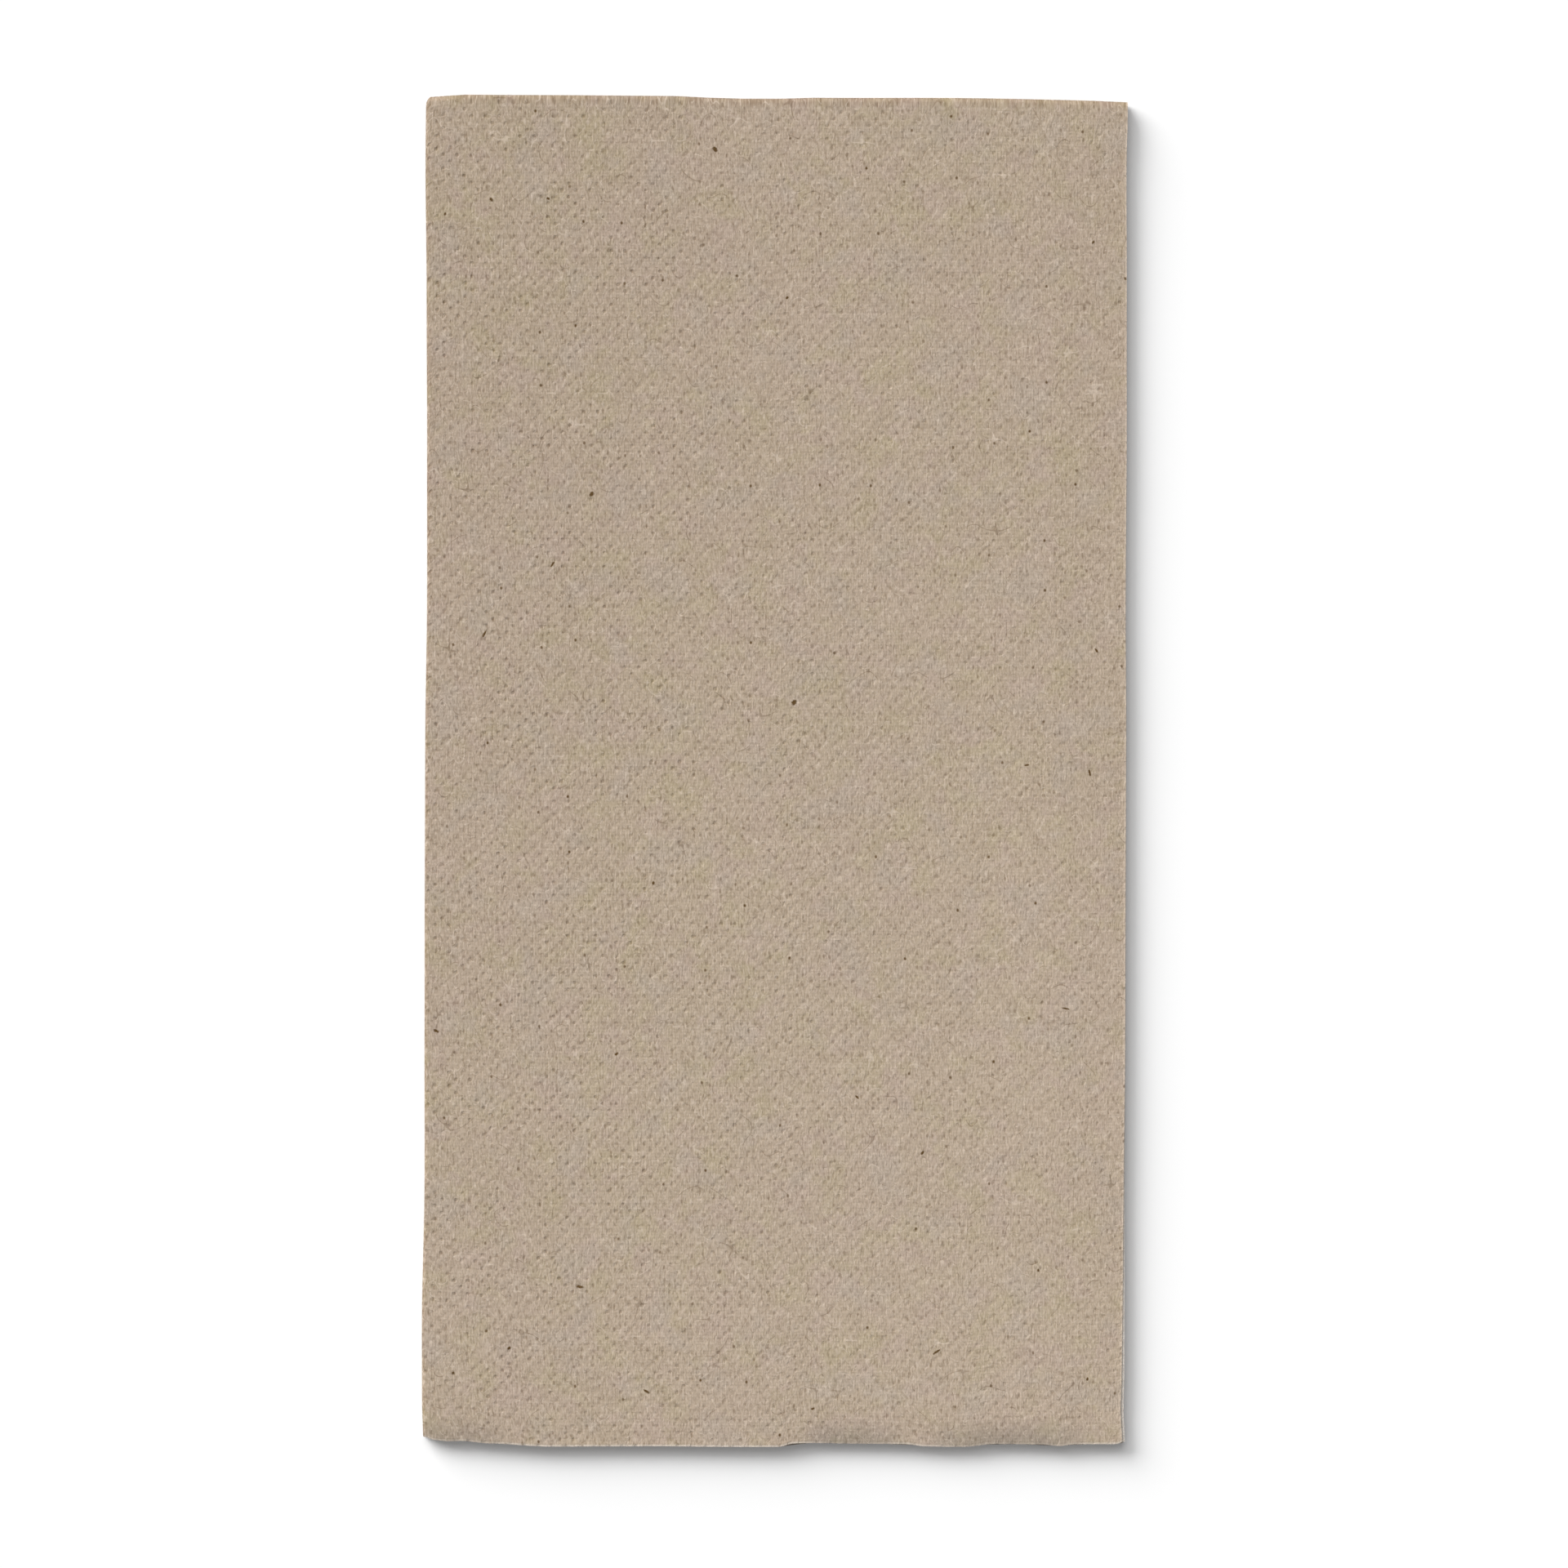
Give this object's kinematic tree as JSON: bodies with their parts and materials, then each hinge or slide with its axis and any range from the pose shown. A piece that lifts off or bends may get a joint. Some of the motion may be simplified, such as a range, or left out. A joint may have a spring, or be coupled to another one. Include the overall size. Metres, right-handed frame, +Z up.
{
  "type": "paper napkin",
  "caption": "Flat oblong dinner napkin: one sheet of soft brown flecked paper with an all-over emboss, folded lengthwise and then across.",
  "frame": {"origin": "on the table, under the middle of the folded napkin", "axes": "+X across the napkin towards its cut edges, +Y along it towards the cross fold, +Z up from the table"},
  "size_m": [0.1002, 0.1922, 0.0024],
  "materials": {
    "paper": "soft unbleached tissue with an all-over pin emboss, brown flecks and pale fibres"
  },
  "bodies": {
    "root": {"napkin": "paper"}
  },
  "joints": []
}
